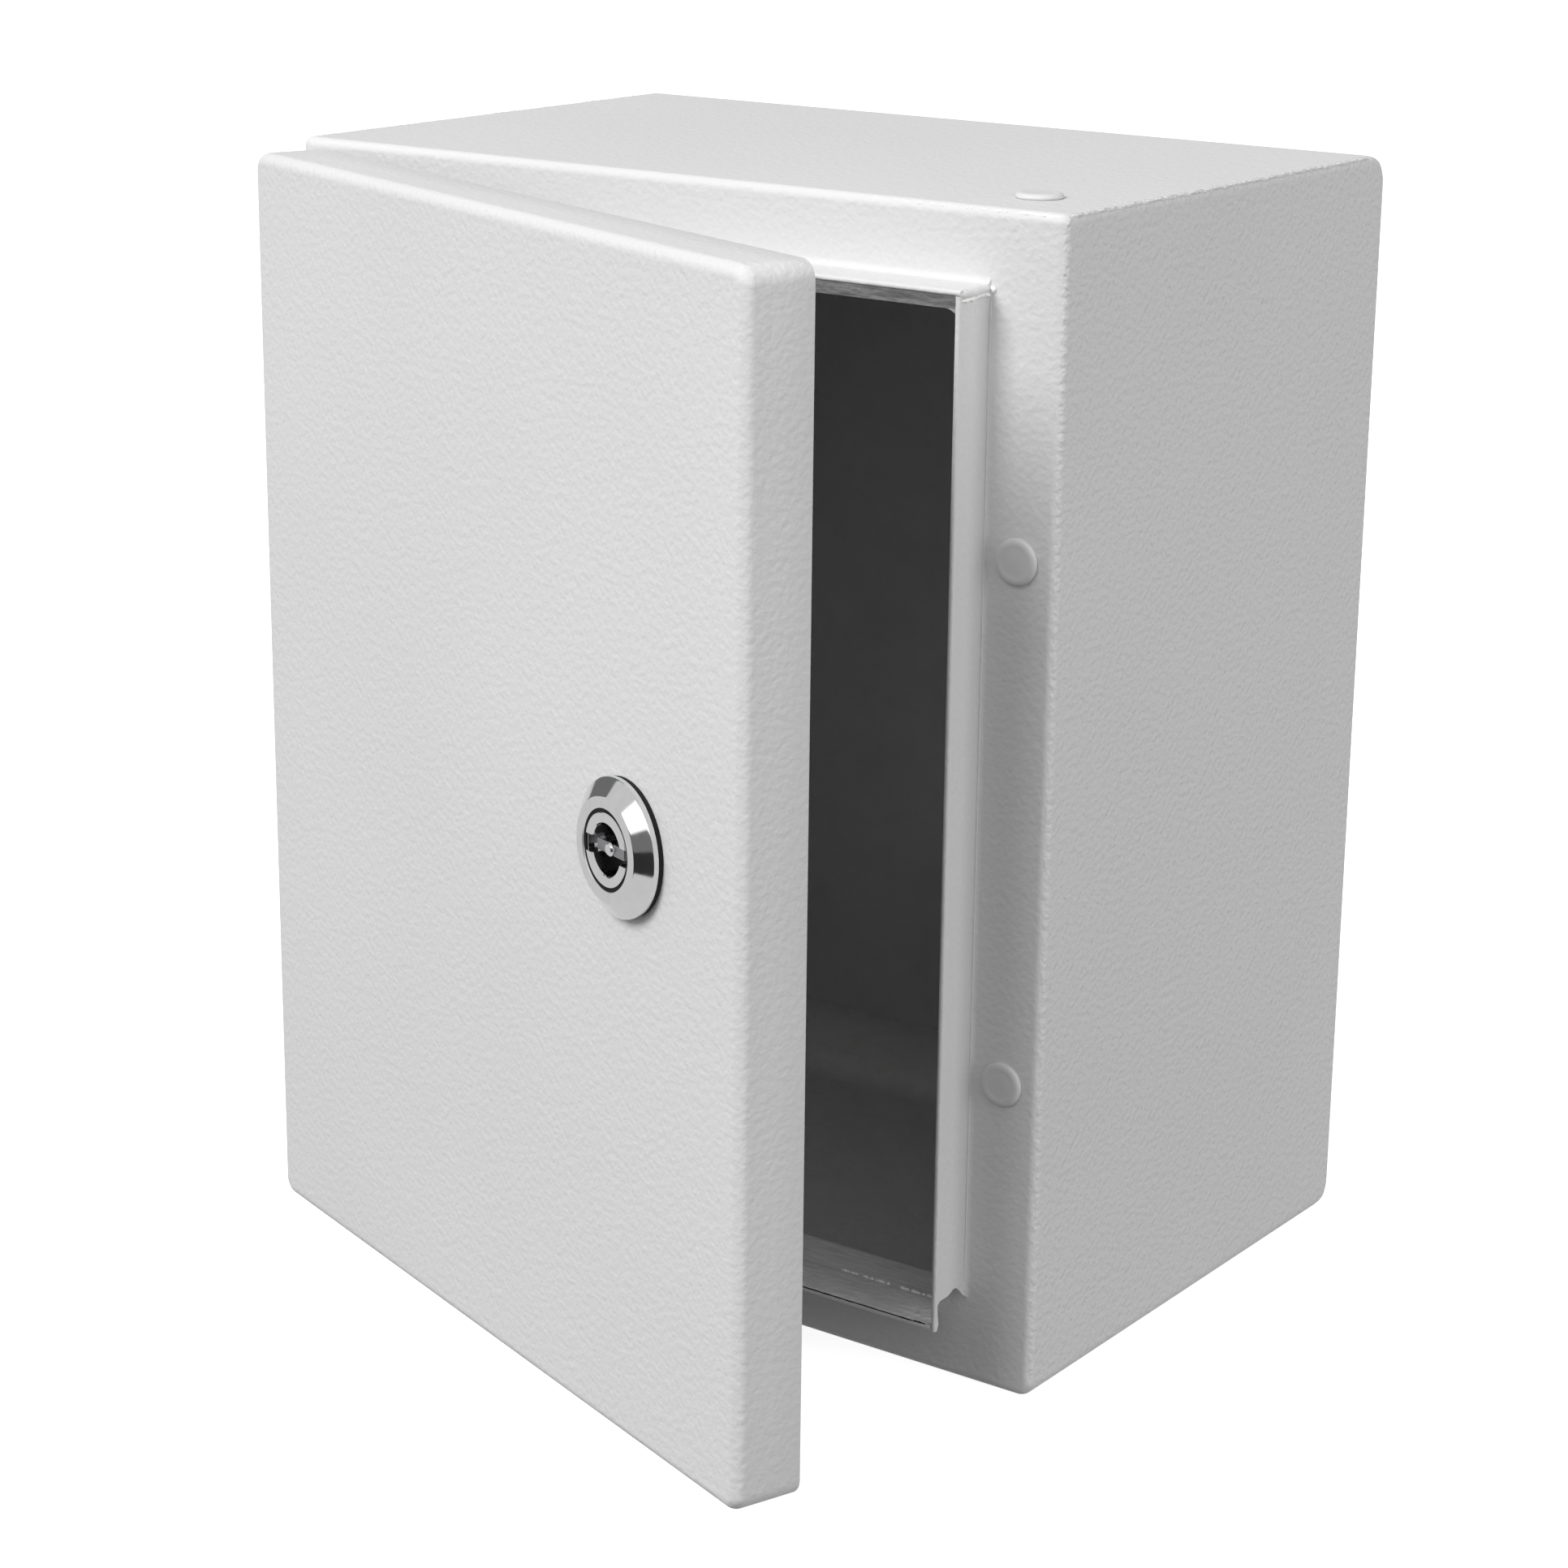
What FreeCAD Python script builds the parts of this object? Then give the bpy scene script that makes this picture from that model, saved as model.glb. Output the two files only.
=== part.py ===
import FreeCAD, Part
import math
import os

# Small wall-mounted switchboard cabinet: a folded and welded sheet-steel box, 250 high, 200 wide
# and 150 deep over its closed door, with a mounting plate inside, a left-hinged pan door and a
# quarter-turn cam lock.
# Millimetres. X runs to the right, +Y towards the wall, +Z up. The origin is the centre of the
# four wall-fixing holes, on the rear face. Door pieces are drawn closed and then swung open to
# the resting angle.

# Driving dimensions
WIDTH = 200.0
HEIGHT = 250.0
DEPTH = 150.0
SHEET = 1.2

# Body
BODY_DEPTH = 132.5
FRONT_BEND = 2.0
REAR_BEND = 7.0
TOP_EDGE = 2.0
BOTTOM_EDGE = 3.5
SIDE_FLANGE = 17.0
END_FLANGE = 15.0
COLLAR_REACH = 11.0
COLLAR_ROOT = 1.5
# The notch in the side collars' lower end, as (behind the free edge, above the end), the web of
# flange left behind it, as (x, above the end), and how far the bottom collar is cut back there.
CORNER_NOTCH = [
    (0.9, -1.0),
    (0.9, 0.3),
    (1.4, 1.4),
    (1.0, 3.4),
    (0.9, 5.9),
    (1.9, 6.6),
    (4.8, 6.6),
    (6.9, 7.5),
    (8.1, 7.3),
    (9.5, 6.0),
    (10.2, 5.0),
    (11.0, 4.4),
    (11.0, -1.0),
]
CORNER_WEB = [(81.8, 1.2), (81.8, 9.5), (79.4, 8.0), (79.4, 3.4), (75.9, 1.2)]
CORNER_MITRE = 7.0
LIP_DROP = 4.0
LIP_SET_BACK = 2.0
SILL_DEPTH = 10.8
SILL_LEG = 9.0
FIXING_X = 75.0
FIXING_Z = 102.5
FIXING_R = 4.0

# Blanked holes
PLUG_X = 91.0
PLUG_Z = 55.5
PLUG_HOLE_R = 4.1
TOP_PLUG_X = 82.0
TOP_PLUG_BEHIND_FRONT = 18.7
CAP_R = 4.9
CAP_H = 1.3

# Mounting plate
PLATE_W = 150.0
PLATE_H = 200.0
PLATE_T = 1.8
PLATE_FRONT = 13.5
PLATE_CHAMFER = 15.0
STUD_X = 62.0
STUD_Z = 85.0
STUD_R = 3.0
STUD_TIP = 23.0

# Door
DOOR_GAP = 2.0
DOOR_REVEAL = 2.0
DOOR_CORNER = 4.0
DOOR_EDGE = 2.5
GASKET_W = 12.0
GASKET_CLEAR = 0.3
REST_ANGLE = 20.0

# Hinges
HINGE_FROM_EDGE = 5.0
HINGE_BEHIND_FACE = 7.5
PIN_R = 2.0
KNUCKLE_R = 3.5
KNUCKLE_LOW = 8.0
KNUCKLE_HIGH = 18.0
EAR_T = 3.0
PLAY = 0.3
FIT = 0.05
FOOT_T = 2.5
FOOT_REACH = 20.0

# Lock
LOCK_FROM_EDGE = 40.5
LOCK_ABOVE_MID = 4.5
LOCK_PROUD = 4.8
SEAL_T = 1.2
RIM_R = 14.2
RING_R = 10.8
GROOVE_R = 8.3
INSERT_R = 7.6
SOCKET_R = 5.3
SOCKET_DEPTH = 9.0
BARREL_R = 10.0
CAM_LENGTH = 32.0
CAM_W = 14.0
CAM_T = 3.0

# Places worked out from the sizes above
HALF_W = WIDTH / 2
HALF_H = HEIGHT / 2
FLANGE_Y = -BODY_DEPTH
COLLAR_X = HALF_W - SIDE_FLANGE
COLLAR_Z = HALF_H - END_FLANGE
COLLAR_Y = FLANGE_Y - COLLAR_REACH
FACE_Y = -DEPTH
LINING_Y = FACE_Y + SHEET
RIM_Y = FLANGE_Y - DOOR_GAP
DOOR_X = HALF_W - DOOR_REVEAL
DOOR_Z = HALF_H - DOOR_REVEAL
HINGE_X = -DOOR_X + HINGE_FROM_EDGE
HINGE_Y = FACE_Y + HINGE_BEHIND_FACE
LOCK_X = DOOR_X - LOCK_FROM_EDGE
LOCK_Z = LOCK_ABOVE_MID
CAM_Y = FLANGE_Y + SHEET + PLAY


def vec(x, y, z):
    return FreeCAD.Vector(x, y, z)


def box(x0, x1, y0, y1, z0, z1):
    return Part.makeBox(x1 - x0, y1 - y0, z1 - z0, vec(x0, y0, z0))


def cylinder(centre, axis, radius, length):
    return Part.makeCylinder(radius, length, vec(*centre), vec(*axis))


def tube(centre, axis, outer, inner, length):
    return cylinder(centre, axis, outer, length).cut(cylinder(centre, axis, inner, length))


def prism(points, along):
    corners = [vec(*p) for p in points]
    return Part.Face(Part.makePolygon(corners + corners[:1])).extrude(vec(*along))


def hexagon(centre, axis, across_flats, length):
    """Hexagonal bar from centre along axis."""
    radius = across_flats / math.sqrt(3)
    angles = [math.radians(60 * k) for k in range(6)]
    bar = prism([(radius * math.cos(a), radius * math.sin(a), 0) for a in angles], (0, 0, length))
    bar.Placement = FreeCAD.Placement(vec(*centre), FreeCAD.Rotation(vec(0, 0, 1), vec(*axis)))
    return bar


def nut(centre, axis, across_flats, bore, length):
    return hexagon(centre, axis, across_flats, length).cut(cylinder(centre, axis, bore, length))


def turned(x, z, outline):
    """Solid of revolution about the Y line through x and z; the outline is (radius, y) points."""
    points = [(x + r, y, z) for r, y in outline]
    corners = [vec(*p) for p in points]
    face = Part.Face(Part.makePolygon(corners + corners[:1]))
    return face.revolve(vec(x, 0, z), vec(0, 1, 0), 360)


def join(shapes):
    whole = shapes[0]
    for shape in shapes[1:]:
        whole = whole.fuse(shape)
    return whole.removeSplitter()


def round_edges(solid, radius, direction, chosen):
    """Fillets the straight edges along direction whose middle passes the test."""
    edges = []
    for edge in solid.Edges:
        along = abs(edge.tangentAt(edge.FirstParameter).dot(direction)) > 0.999
        if along and chosen(edge.CenterOfMass):
            edges.append(edge)
    return solid.makeFillet(radius, edges)


def mirror_x(shape):
    return shape.mirror(vec(0, 0, 0), vec(1, 0, 0))


def mirror_z(shape):
    return shape.mirror(vec(0, 0, 0), vec(0, 0, 1))


def swing(shape):
    """Turns a piece drawn on the closed door to where the resting door holds it."""
    turned_piece = shape.copy()
    turned_piece.rotate(vec(HINGE_X, HINGE_Y, 0), vec(0, 0, 1), -REST_ANGLE)
    return turned_piece


# ---- Body ----


def plain_block(inset):
    return box(-HALF_W + inset, HALF_W - inset, FLANGE_Y + inset, -inset, -HALF_H + inset, HALF_H - inset)


def rear_bends(block, inset):
    return round_edges(block, REAR_BEND - inset, vec(1, 0, 0), lambda c: c.y > FLANGE_Y / 2)


def body_outside():
    """The box's outer shape, with its corners rounded off where three edges meet."""
    block = plain_block(0.0)
    front = round_edges(block, TOP_EDGE, vec(0, 1, 0), lambda c: c.z > 0)
    front = round_edges(front, BOTTOM_EDGE, vec(0, 1, 0), lambda c: c.z < 0)
    face = min(front.Faces, key=lambda f: f.CenterOfMass.y)
    front = front.makeFillet(FRONT_BEND, face.Edges)
    return front.common(rear_bends(block, 0.0))


def body_inside():
    block = plain_block(SHEET)
    front = round_edges(block, BOTTOM_EDGE - SHEET, vec(0, 1, 0), lambda c: c.z < 0)
    side = round_edges(block, FRONT_BEND - SHEET, vec(1, 0, 0), lambda c: c.y < FLANGE_Y / 2)
    return front.common(side).common(rear_bends(block, SHEET))


def body_shell():
    shell = body_outside().cut(body_inside())
    inner_x = COLLAR_X - SHEET
    inner_z = COLLAR_Z - SHEET
    mouth = box(-inner_x, inner_x, FLANGE_Y - 1, FLANGE_Y + SHEET, -inner_z, inner_z)
    return shell.cut(mouth)


def side_zone():
    """The part of the shell that the right side panel is folded from."""
    skin = box(HALF_W - SHEET, HALF_W, FLANGE_Y, 0, -HALF_H, HALF_H)
    bend = box(HALF_W - FRONT_BEND, HALF_W, FLANGE_Y, FLANGE_Y + FRONT_BEND, -HALF_H, HALF_H)
    flange = box(COLLAR_X, HALF_W, FLANGE_Y, FLANGE_Y + SHEET, -COLLAR_Z, COLLAR_Z)
    inner = box(COLLAR_X - SHEET, COLLAR_X, FLANGE_Y, FLANGE_Y + SHEET, -COLLAR_Z, COLLAR_Z - SHEET)
    return join([skin, bend, flange, inner])


def side_collar():
    """Collar forward of the right flange, with its rounded free edge, root bend and corner notch."""
    inner_x = COLLAR_X - SHEET
    top_z = COLLAR_Z - SHEET
    half = SHEET / 2
    strip = box(inner_x, COLLAR_X, COLLAR_Y + half, FLANGE_Y + SHEET, -COLLAR_Z, top_z)
    edge = cylinder((inner_x + half, COLLAR_Y + half, -COLLAR_Z), (0, 0, 1), half, COLLAR_Z + top_z)
    root = box(COLLAR_X, COLLAR_X + COLLAR_ROOT, FLANGE_Y - COLLAR_ROOT, FLANGE_Y, -COLLAR_Z, COLLAR_Z)
    hollow = cylinder(
        (COLLAR_X + COLLAR_ROOT, FLANGE_Y - COLLAR_ROOT, -COLLAR_Z), (0, 0, 1), COLLAR_ROOT, 2 * COLLAR_Z
    )
    collar = join([strip, edge, root.cut(hollow)])
    outline = [(inner_x - 1, COLLAR_Y + behind, -COLLAR_Z + above) for behind, above in CORNER_NOTCH]
    return collar.cut(prism(outline, (SHEET + 4, 0, 0)))


def corner_web():
    """Bit of flange left standing in the mouth's lower corner behind the notch."""
    outline = [(x, FLANGE_Y, -COLLAR_Z + above) for x, above in CORNER_WEB]
    return prism(outline, (0, SHEET, 0))


def side_panel_right():
    panel = body_shell().common(side_zone())
    panel = join([panel, side_collar(), corner_web()])
    for z in (-PLUG_Z, PLUG_Z):
        panel = panel.cut(cylinder((PLUG_X, FLANGE_Y - 1, z), (0, 1, 0), PLUG_HOLE_R, SHEET + 2))
    return panel


def end_collar():
    """Collar forward of the top flange, without its lip."""
    half = SHEET / 2
    strip = box(-COLLAR_X, COLLAR_X, COLLAR_Y + half, FLANGE_Y + SHEET, COLLAR_Z - SHEET, COLLAR_Z)
    edge = cylinder((-COLLAR_X, COLLAR_Y + half, COLLAR_Z - half), (1, 0, 0), half, 2 * COLLAR_X)
    root = box(-COLLAR_X, COLLAR_X, FLANGE_Y - COLLAR_ROOT, FLANGE_Y, COLLAR_Z, COLLAR_Z + COLLAR_ROOT)
    hollow = cylinder(
        (-COLLAR_X, FLANGE_Y - COLLAR_ROOT, COLLAR_Z + COLLAR_ROOT), (1, 0, 0), COLLAR_ROOT, 2 * COLLAR_X
    )
    return join([strip, edge, root.cut(hollow)])


def top_lip():
    """Rolled-in lip under the top collar's free edge, leaning back, with rounded ends."""
    inner_x = COLLAR_X - SHEET
    high = COLLAR_Z - SHEET / 2
    low = COLLAR_Z - LIP_DROP
    back = COLLAR_Y + LIP_SET_BACK
    section = [
        (-inner_x, COLLAR_Y, high),
        (-inner_x, back, low),
        (-inner_x, back + SHEET, low + SHEET / 2),
        (-inner_x, COLLAR_Y + SHEET, high),
    ]
    lip = prism(section, (2 * inner_x, 0, 0))
    size = 3.5
    for side in (-1, 1):
        x0, x1 = sorted((side * inner_x, side * (inner_x - size)))
        web = box(x0, x1, back, back + SHEET, low - size, low + SHEET / 2)
        hole = cylinder((side * (inner_x - size), back, low - size), (0, 1, 0), size, SHEET)
        lip = lip.fuse(web.cut(hole))
    return lip


def corner_mitre():
    """The slanting piece that is missing from the bottom collar's right end."""
    inner_x = COLLAR_X - SHEET
    low = -COLLAR_Z - COLLAR_ROOT - 1
    corners = [(inner_x + 1, COLLAR_Y + 1.0), (inner_x + 1, FLANGE_Y), (inner_x - CORNER_MITRE, FLANGE_Y)]
    corners.append((inner_x, COLLAR_Y + 1.0))
    return prism([(x, y, low) for x, y in corners], (0, 0, COLLAR_ROOT + SHEET + 2))


def body_wrap():
    """Top, back and bottom in one folded sheet, with the top and bottom flanges and collars."""
    wrap = body_shell().cut(side_zone()).cut(mirror_x(side_zone()))
    bottom = mirror_z(end_collar())
    inner_x = COLLAR_X - SHEET
    bottom = bottom.common(box(-inner_x, inner_x, COLLAR_Y, 0, -HALF_H, 0))
    mitre = corner_mitre()
    bottom = bottom.cut(mitre).cut(mirror_x(mitre))
    wrap = join([wrap, end_collar(), top_lip(), bottom])
    for x in (-FIXING_X, FIXING_X):
        for z in (-FIXING_Z, FIXING_Z):
            wrap = wrap.cut(cylinder((x, -SHEET - 1, z), (0, 1, 0), FIXING_R, SHEET + 2))
    plug_y = FLANGE_Y + TOP_PLUG_BEHIND_FRONT
    return wrap.cut(cylinder((TOP_PLUG_X, plug_y, HALF_H - SHEET - 1), (0, 0, 1), PLUG_HOLE_R, SHEET + 2))


def sill_angle():
    """Angle behind the bottom flange that carries the sill inwards."""
    inner_x = COLLAR_X - SHEET - PLAY
    rear = FLANGE_Y + SHEET
    shelf = box(-inner_x, inner_x, rear, rear + SILL_DEPTH, -COLLAR_Z, -COLLAR_Z + SHEET)
    leg = box(-inner_x, inner_x, rear, rear + SHEET, -COLLAR_Z - SILL_LEG, -COLLAR_Z)
    return join([shelf, leg])


# ---- Blanking plugs ----


def plug(centre, outward):
    """Domed cap with a hollow stem, on a hole whose face is at centre."""
    dome = [(CAP_R, 0.5), (CAP_R - 0.4, 0.9), (CAP_R - 1.4, 1.15), (0, CAP_H)]
    crown = turned(0, 0, [(0, 0), (CAP_R, 0)] + dome)
    stem = tube((0, 0, 0), (0, -1, 0), PLUG_HOLE_R - 0.1, 2.6, 5.0)
    barb = tube((0, -SHEET - 0.2, 0), (0, -1, 0), PLUG_HOLE_R + 0.3, PLUG_HOLE_R - 0.2, 1.0)
    piece = join([crown, stem, barb])
    piece.Placement = FreeCAD.Placement(vec(*centre), FreeCAD.Rotation(vec(0, 1, 0), vec(*outward)))
    return piece


# ---- Mounting plate and its fixings ----


def stud_places():
    return [(x, z) for x in (-STUD_X, STUD_X) for z in (-STUD_Z, STUD_Z)]


def mounting_plate():
    half_w = PLATE_W / 2
    half_h = PLATE_H / 2
    cut = PLATE_CHAMFER
    corners = []
    for sx, sz in ((1, 1), (-1, 1), (-1, -1), (1, -1)):
        ends = [(sx * half_w, sz * (half_h - cut)), (sx * (half_w - cut), sz * half_h)]
        corners += ends if sx * sz > 0 else ends[::-1]
    plate = prism([(x, -PLATE_FRONT, z) for x, z in corners], (0, PLATE_T, 0))
    for x, z in stud_places():
        plate = plate.cut(cylinder((x, -PLATE_FRONT - 1, z), (0, 1, 0), STUD_R + 0.3, PLATE_T + 2))
    return plate


def plate_studs():
    flange_h = 0.8
    studs = []
    for x, z in stud_places():
        shank = cylinder((x, -SHEET, z), (0, -1, 0), STUD_R, STUD_TIP - SHEET)
        flange = cylinder((x, -SHEET, z), (0, -1, 0), STUD_R + 1.5, flange_h)
        studs.append(join([shank, flange]))
    return Part.makeCompound(studs)


def plate_spacers():
    start = -SHEET - 0.8
    length = PLATE_FRONT - PLATE_T + start
    return Part.makeCompound(
        [tube((x, start, z), (0, -1, 0), 6.0, STUD_R + 0.2, length) for x, z in stud_places()]
    )


def plate_washers():
    return Part.makeCompound(
        [tube((x, -PLATE_FRONT, z), (0, -1, 0), 6.0, STUD_R + 0.2, 1.6) for x, z in stud_places()]
    )


def plate_nuts():
    return Part.makeCompound(
        [nut((x, -PLATE_FRONT - 1.6, z), (0, -1, 0), 10.0, STUD_R, 5.0) for x, z in stud_places()]
    )


# ---- Earthing studs ----


def earth_stud(base, axis):
    shank = cylinder(base, axis, STUD_R, 14.0)
    flange = cylinder(base, axis, STUD_R + 1.5, 0.8)
    return join([shank, flange])


def earth_washers(base, axis):
    """Contact washer on the weld flange and a plain washer over it, where a lead's eye would be clamped."""
    pair = []
    for start, outer in ((0.8, 6.5), (2.4, 6.0)):
        centre = vec(*base) + vec(*axis) * start
        pair.append(tube(tuple(centre), axis, outer, STUD_R + 0.2, 1.2))
    return Part.makeCompound(pair)


def earth_nut(base, axis):
    centre = vec(*base) + vec(*axis) * 3.6
    return nut(tuple(centre), axis, 10.0, STUD_R, 5.0)


BODY_EARTH = (-HALF_W + SHEET, -62.0, -98.0)
DOOR_EARTH = (-58.0, LINING_Y, -92.0)

# ---- Door ----


def door_block(inset, rim_y):
    half_x = DOOR_X - inset
    half_z = DOOR_Z - inset
    block = box(-half_x, half_x, FACE_Y + inset, rim_y, -half_z, half_z)
    block = round_edges(block, DOOR_CORNER - inset, vec(0, 1, 0), lambda c: True)
    front = [edge for edge in block.Edges if edge.BoundBox.YMax < FACE_Y + inset + 0.01]
    return block.makeFillet(DOOR_EDGE - inset, front)


def hinge_ends():
    """Each hinge's screw height and the side its knuckle is on."""
    return ((PLUG_Z, 1), (-PLUG_Z, -1))


def door_panel():
    pan = door_block(0.0, RIM_Y).cut(door_block(SHEET, RIM_Y + 1))
    slot_y = HINGE_Y + 0.5
    for z, side in hinge_ends():
        low, high = sorted((z - side * 7.5, z + side * (FOOT_REACH + 2.0)))
        pan = pan.cut(box(-DOOR_X - 1, -DOOR_X + SHEET + 1, slot_y, RIM_Y + 1, low, high))
    return pan.cut(cylinder((LOCK_X, FACE_Y - 1, LOCK_Z), (0, 1, 0), BARREL_R + 0.1, SHEET + 2))


def door_gasket():
    """Foam strip opposite the collar, drawn at its pressed height."""
    y1 = COLLAR_Y - GASKET_CLEAR
    middle_x = COLLAR_X - SHEET / 2
    middle_z = COLLAR_Z - SHEET / 2
    blocks = []
    for grow, corner in ((GASKET_W / 2, 8.0), (-GASKET_W / 2, 3.0)):
        half_x = middle_x + grow
        half_z = middle_z + grow
        block = box(-half_x, half_x, LINING_Y, y1, -half_z, half_z)
        blocks.append(round_edges(block, corner, vec(0, 1, 0), lambda c: True))
    return blocks[0].cut(blocks[1])


# ---- Hinges: local heights are measured from the screw towards the knuckle ----


def bracket():
    """Foot on the flange, arm and knuckle, drawn at height 0 with the knuckle above."""
    screw_x = -PLUG_X
    foot = box(screw_x - 4.6, screw_x + 6.4, FLANGE_Y - FOOT_T, FLANGE_Y, -6.0, FOOT_REACH)
    foot = round_edges(foot, 1.5, vec(0, 1, 0), lambda c: True)
    boss = cylinder((screw_x, FLANGE_Y, 0), (0, 1, 0), PLUG_HOLE_R - 0.1, SHEET)
    knuckle_h = KNUCKLE_HIGH - KNUCKLE_LOW
    knuckle = cylinder((HINGE_X, HINGE_Y, KNUCKLE_LOW), (0, 0, 1), KNUCKLE_R, knuckle_h)
    arm = box(HINGE_X + 3.4, HINGE_X + 6.0, HINGE_Y - 0.5, FLANGE_Y, KNUCKLE_LOW, KNUCKLE_HIGH)
    web = box(HINGE_X + 1.5, HINGE_X + 4.0, HINGE_Y - 0.5, HINGE_Y + 2.4, KNUCKLE_LOW, KNUCKLE_HIGH)
    whole = join([foot, boss, knuckle, arm, web])
    pin_hole = cylinder((HINGE_X, HINGE_Y, KNUCKLE_LOW - 1), (0, 0, 1), PIN_R, knuckle_h + 2)
    screw_hole = cylinder((screw_x, FLANGE_Y - FOOT_T - 1, 0), (0, 1, 0), 2.1, FOOT_T + SHEET + 2)
    sink = Part.makeCone(3.75, 2.1, 2.0, vec(screw_x, FLANGE_Y - FOOT_T, 0), vec(0, 1, 0))
    return whole.cut(pin_hole).cut(screw_hole).cut(sink)


def leaf():
    """Plate welded inside the door with an ear above and below the bracket's knuckle."""
    low = KNUCKLE_LOW - PLAY - EAR_T
    high = KNUCKLE_HIGH + PLAY + EAR_T
    x0 = HINGE_X - 2.2
    x1 = HINGE_X + KNUCKLE_R
    plate_y = LINING_Y + 1.5
    plate = box(x0, x1, LINING_Y, plate_y, low, high)
    pieces = [plate]
    for z in (low, KNUCKLE_HIGH + PLAY):
        pieces.append(box(x0, x1, LINING_Y, HINGE_Y, z, z + EAR_T))
        pieces.append(cylinder((HINGE_X, HINGE_Y, z), (0, 0, 1), KNUCKLE_R, EAR_T))
    bore = cylinder((HINGE_X, HINGE_Y, low - 1), (0, 0, 1), PIN_R + FIT, high - low + 2)
    return join(pieces).cut(bore)


def hinge_pin():
    """Pin with a round head above and a clip groove below."""
    low = KNUCKLE_LOW - PLAY - EAR_T - 2.4
    top = KNUCKLE_HIGH + 2 * PLAY + EAR_T
    shank = cylinder((HINGE_X, HINGE_Y, low), (0, 0, 1), PIN_R, top - low)
    head = cylinder((HINGE_X, HINGE_Y, top), (0, 0, 1), PIN_R + 1.0, 1.2)
    groove_z = low + 0.9
    groove = tube((HINGE_X, HINGE_Y, groove_z), (0, 0, 1), PIN_R + 0.1, PIN_R - 0.5, 0.8)
    return join([shank, head]).cut(groove)


def pin_clip():
    """Open retaining clip in the pin's groove."""
    z = KNUCKLE_LOW - PLAY - EAR_T - 1.5
    ring = tube((HINGE_X, HINGE_Y, z + 0.1), (0, 0, 1), 3.4, PIN_R - 0.5, 0.6)
    return ring.cut(box(HINGE_X - 1.3, HINGE_X + 1.3, HINGE_Y, HINGE_Y + 5, z - 1, z + 2))


def hinge_screw():
    x = -PLUG_X
    front = FLANGE_Y - FOOT_T
    head = Part.makeCone(3.7, 2.0, 2.0, vec(x, front + 0.05, 0), vec(0, 1, 0))
    shank = cylinder((x, front + 0.05, 0), (0, 1, 0), 2.0, 11.0)
    recess = box(x - 0.5, x + 0.5, front - 1, front + 0.9, -2.6, 2.6)
    cross = box(x - 2.6, x + 2.6, front - 1, front + 0.9, -0.5, 0.5)
    return join([head, shank]).cut(recess).cut(cross)


def hinge_washer():
    return tube((-PLUG_X, FLANGE_Y + SHEET, 0), (0, 1, 0), 5.0, 2.2, 1.0)


def hinge_nut():
    return nut((-PLUG_X, FLANGE_Y + SHEET + 1.0, 0), (0, 1, 0), 7.0, 2.0, 3.2)


def at_hinge(shape, z, side):
    """Sets a piece drawn at height 0 on a hinge; the lower one is turned over."""
    placed = mirror_z(shape) if side < 0 else shape.copy()
    placed.translate(vec(0, 0, z))
    return placed


def both_hinges(make):
    return Part.makeCompound([at_hinge(make(), z, side) for z, side in hinge_ends()])


# ---- Lock ----


def lock_housing():
    front = FACE_Y - LOCK_PROUD
    seat = FACE_Y - SEAL_T
    rear = CAM_Y - 0.5
    outline = [
        (INSERT_R + FIT, front + 0.8),
        (GROOVE_R - 0.1, front + 0.8),
        (GROOVE_R, front + 0.1),
        (GROOVE_R + 0.2, front),
        (RING_R - 0.2, front),
        (RING_R, front + 0.15),
        (RIM_R - 0.4, seat - 1.35),
        (RIM_R, seat - 1.05),
        (RIM_R, seat),
        (BARREL_R, seat),
        (BARREL_R, rear),
        (5.0 + FIT, rear),
        (5.0 + FIT, rear - 4.5),
        (INSERT_R + FIT, rear - 4.5),
    ]
    return turned(LOCK_X, LOCK_Z, outline)


def lock_seal():
    return turned(
        LOCK_X,
        LOCK_Z,
        [(BARREL_R, FACE_Y - SEAL_T), (RIM_R - 0.3, FACE_Y - SEAL_T), (RIM_R, FACE_Y), (BARREL_R, FACE_Y)],
    )


def lock_washer():
    return tube((LOCK_X, LINING_Y, LOCK_Z), (0, 1, 0), 13.0, BARREL_R, 1.0)


def lock_nut():
    return nut((LOCK_X, LINING_Y + 1.0, LOCK_Z), (0, 1, 0), 24.0, BARREL_R, 4.0)


def lock_insert():
    """Turning barrel with its key socket, shaft and square end."""
    front = FACE_Y - LOCK_PROUD + 0.1
    shoulder = CAM_Y - 0.5 - 4.5 - 0.1
    floor = front + SOCKET_DEPTH
    outline = [
        (0, floor),
        (SOCKET_R, floor),
        (SOCKET_R, front + 0.4),
        (SOCKET_R + 0.4, front),
        (INSERT_R - 0.3, front),
        (INSERT_R, front + 0.3),
        (INSERT_R, shoulder),
        (5.0, shoulder),
        (5.0, CAM_Y),
        (0, CAM_Y),
    ]
    barrel = turned(LOCK_X, LOCK_Z, outline)
    square = box(LOCK_X - 3.5, LOCK_X + 3.5, CAM_Y, CAM_Y + CAM_T, LOCK_Z - 3.5, LOCK_Z + 3.5)
    notch = box(LOCK_X - 10, LOCK_X + 10, front - 1, front + 3.0, LOCK_Z - 1.8, LOCK_Z + 1.8)
    thread = cylinder((LOCK_X, CAM_Y - 8.0, LOCK_Z), (0, 1, 0), 2.0, 20.0)
    return join([barrel, square]).cut(notch).cut(thread)


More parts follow.
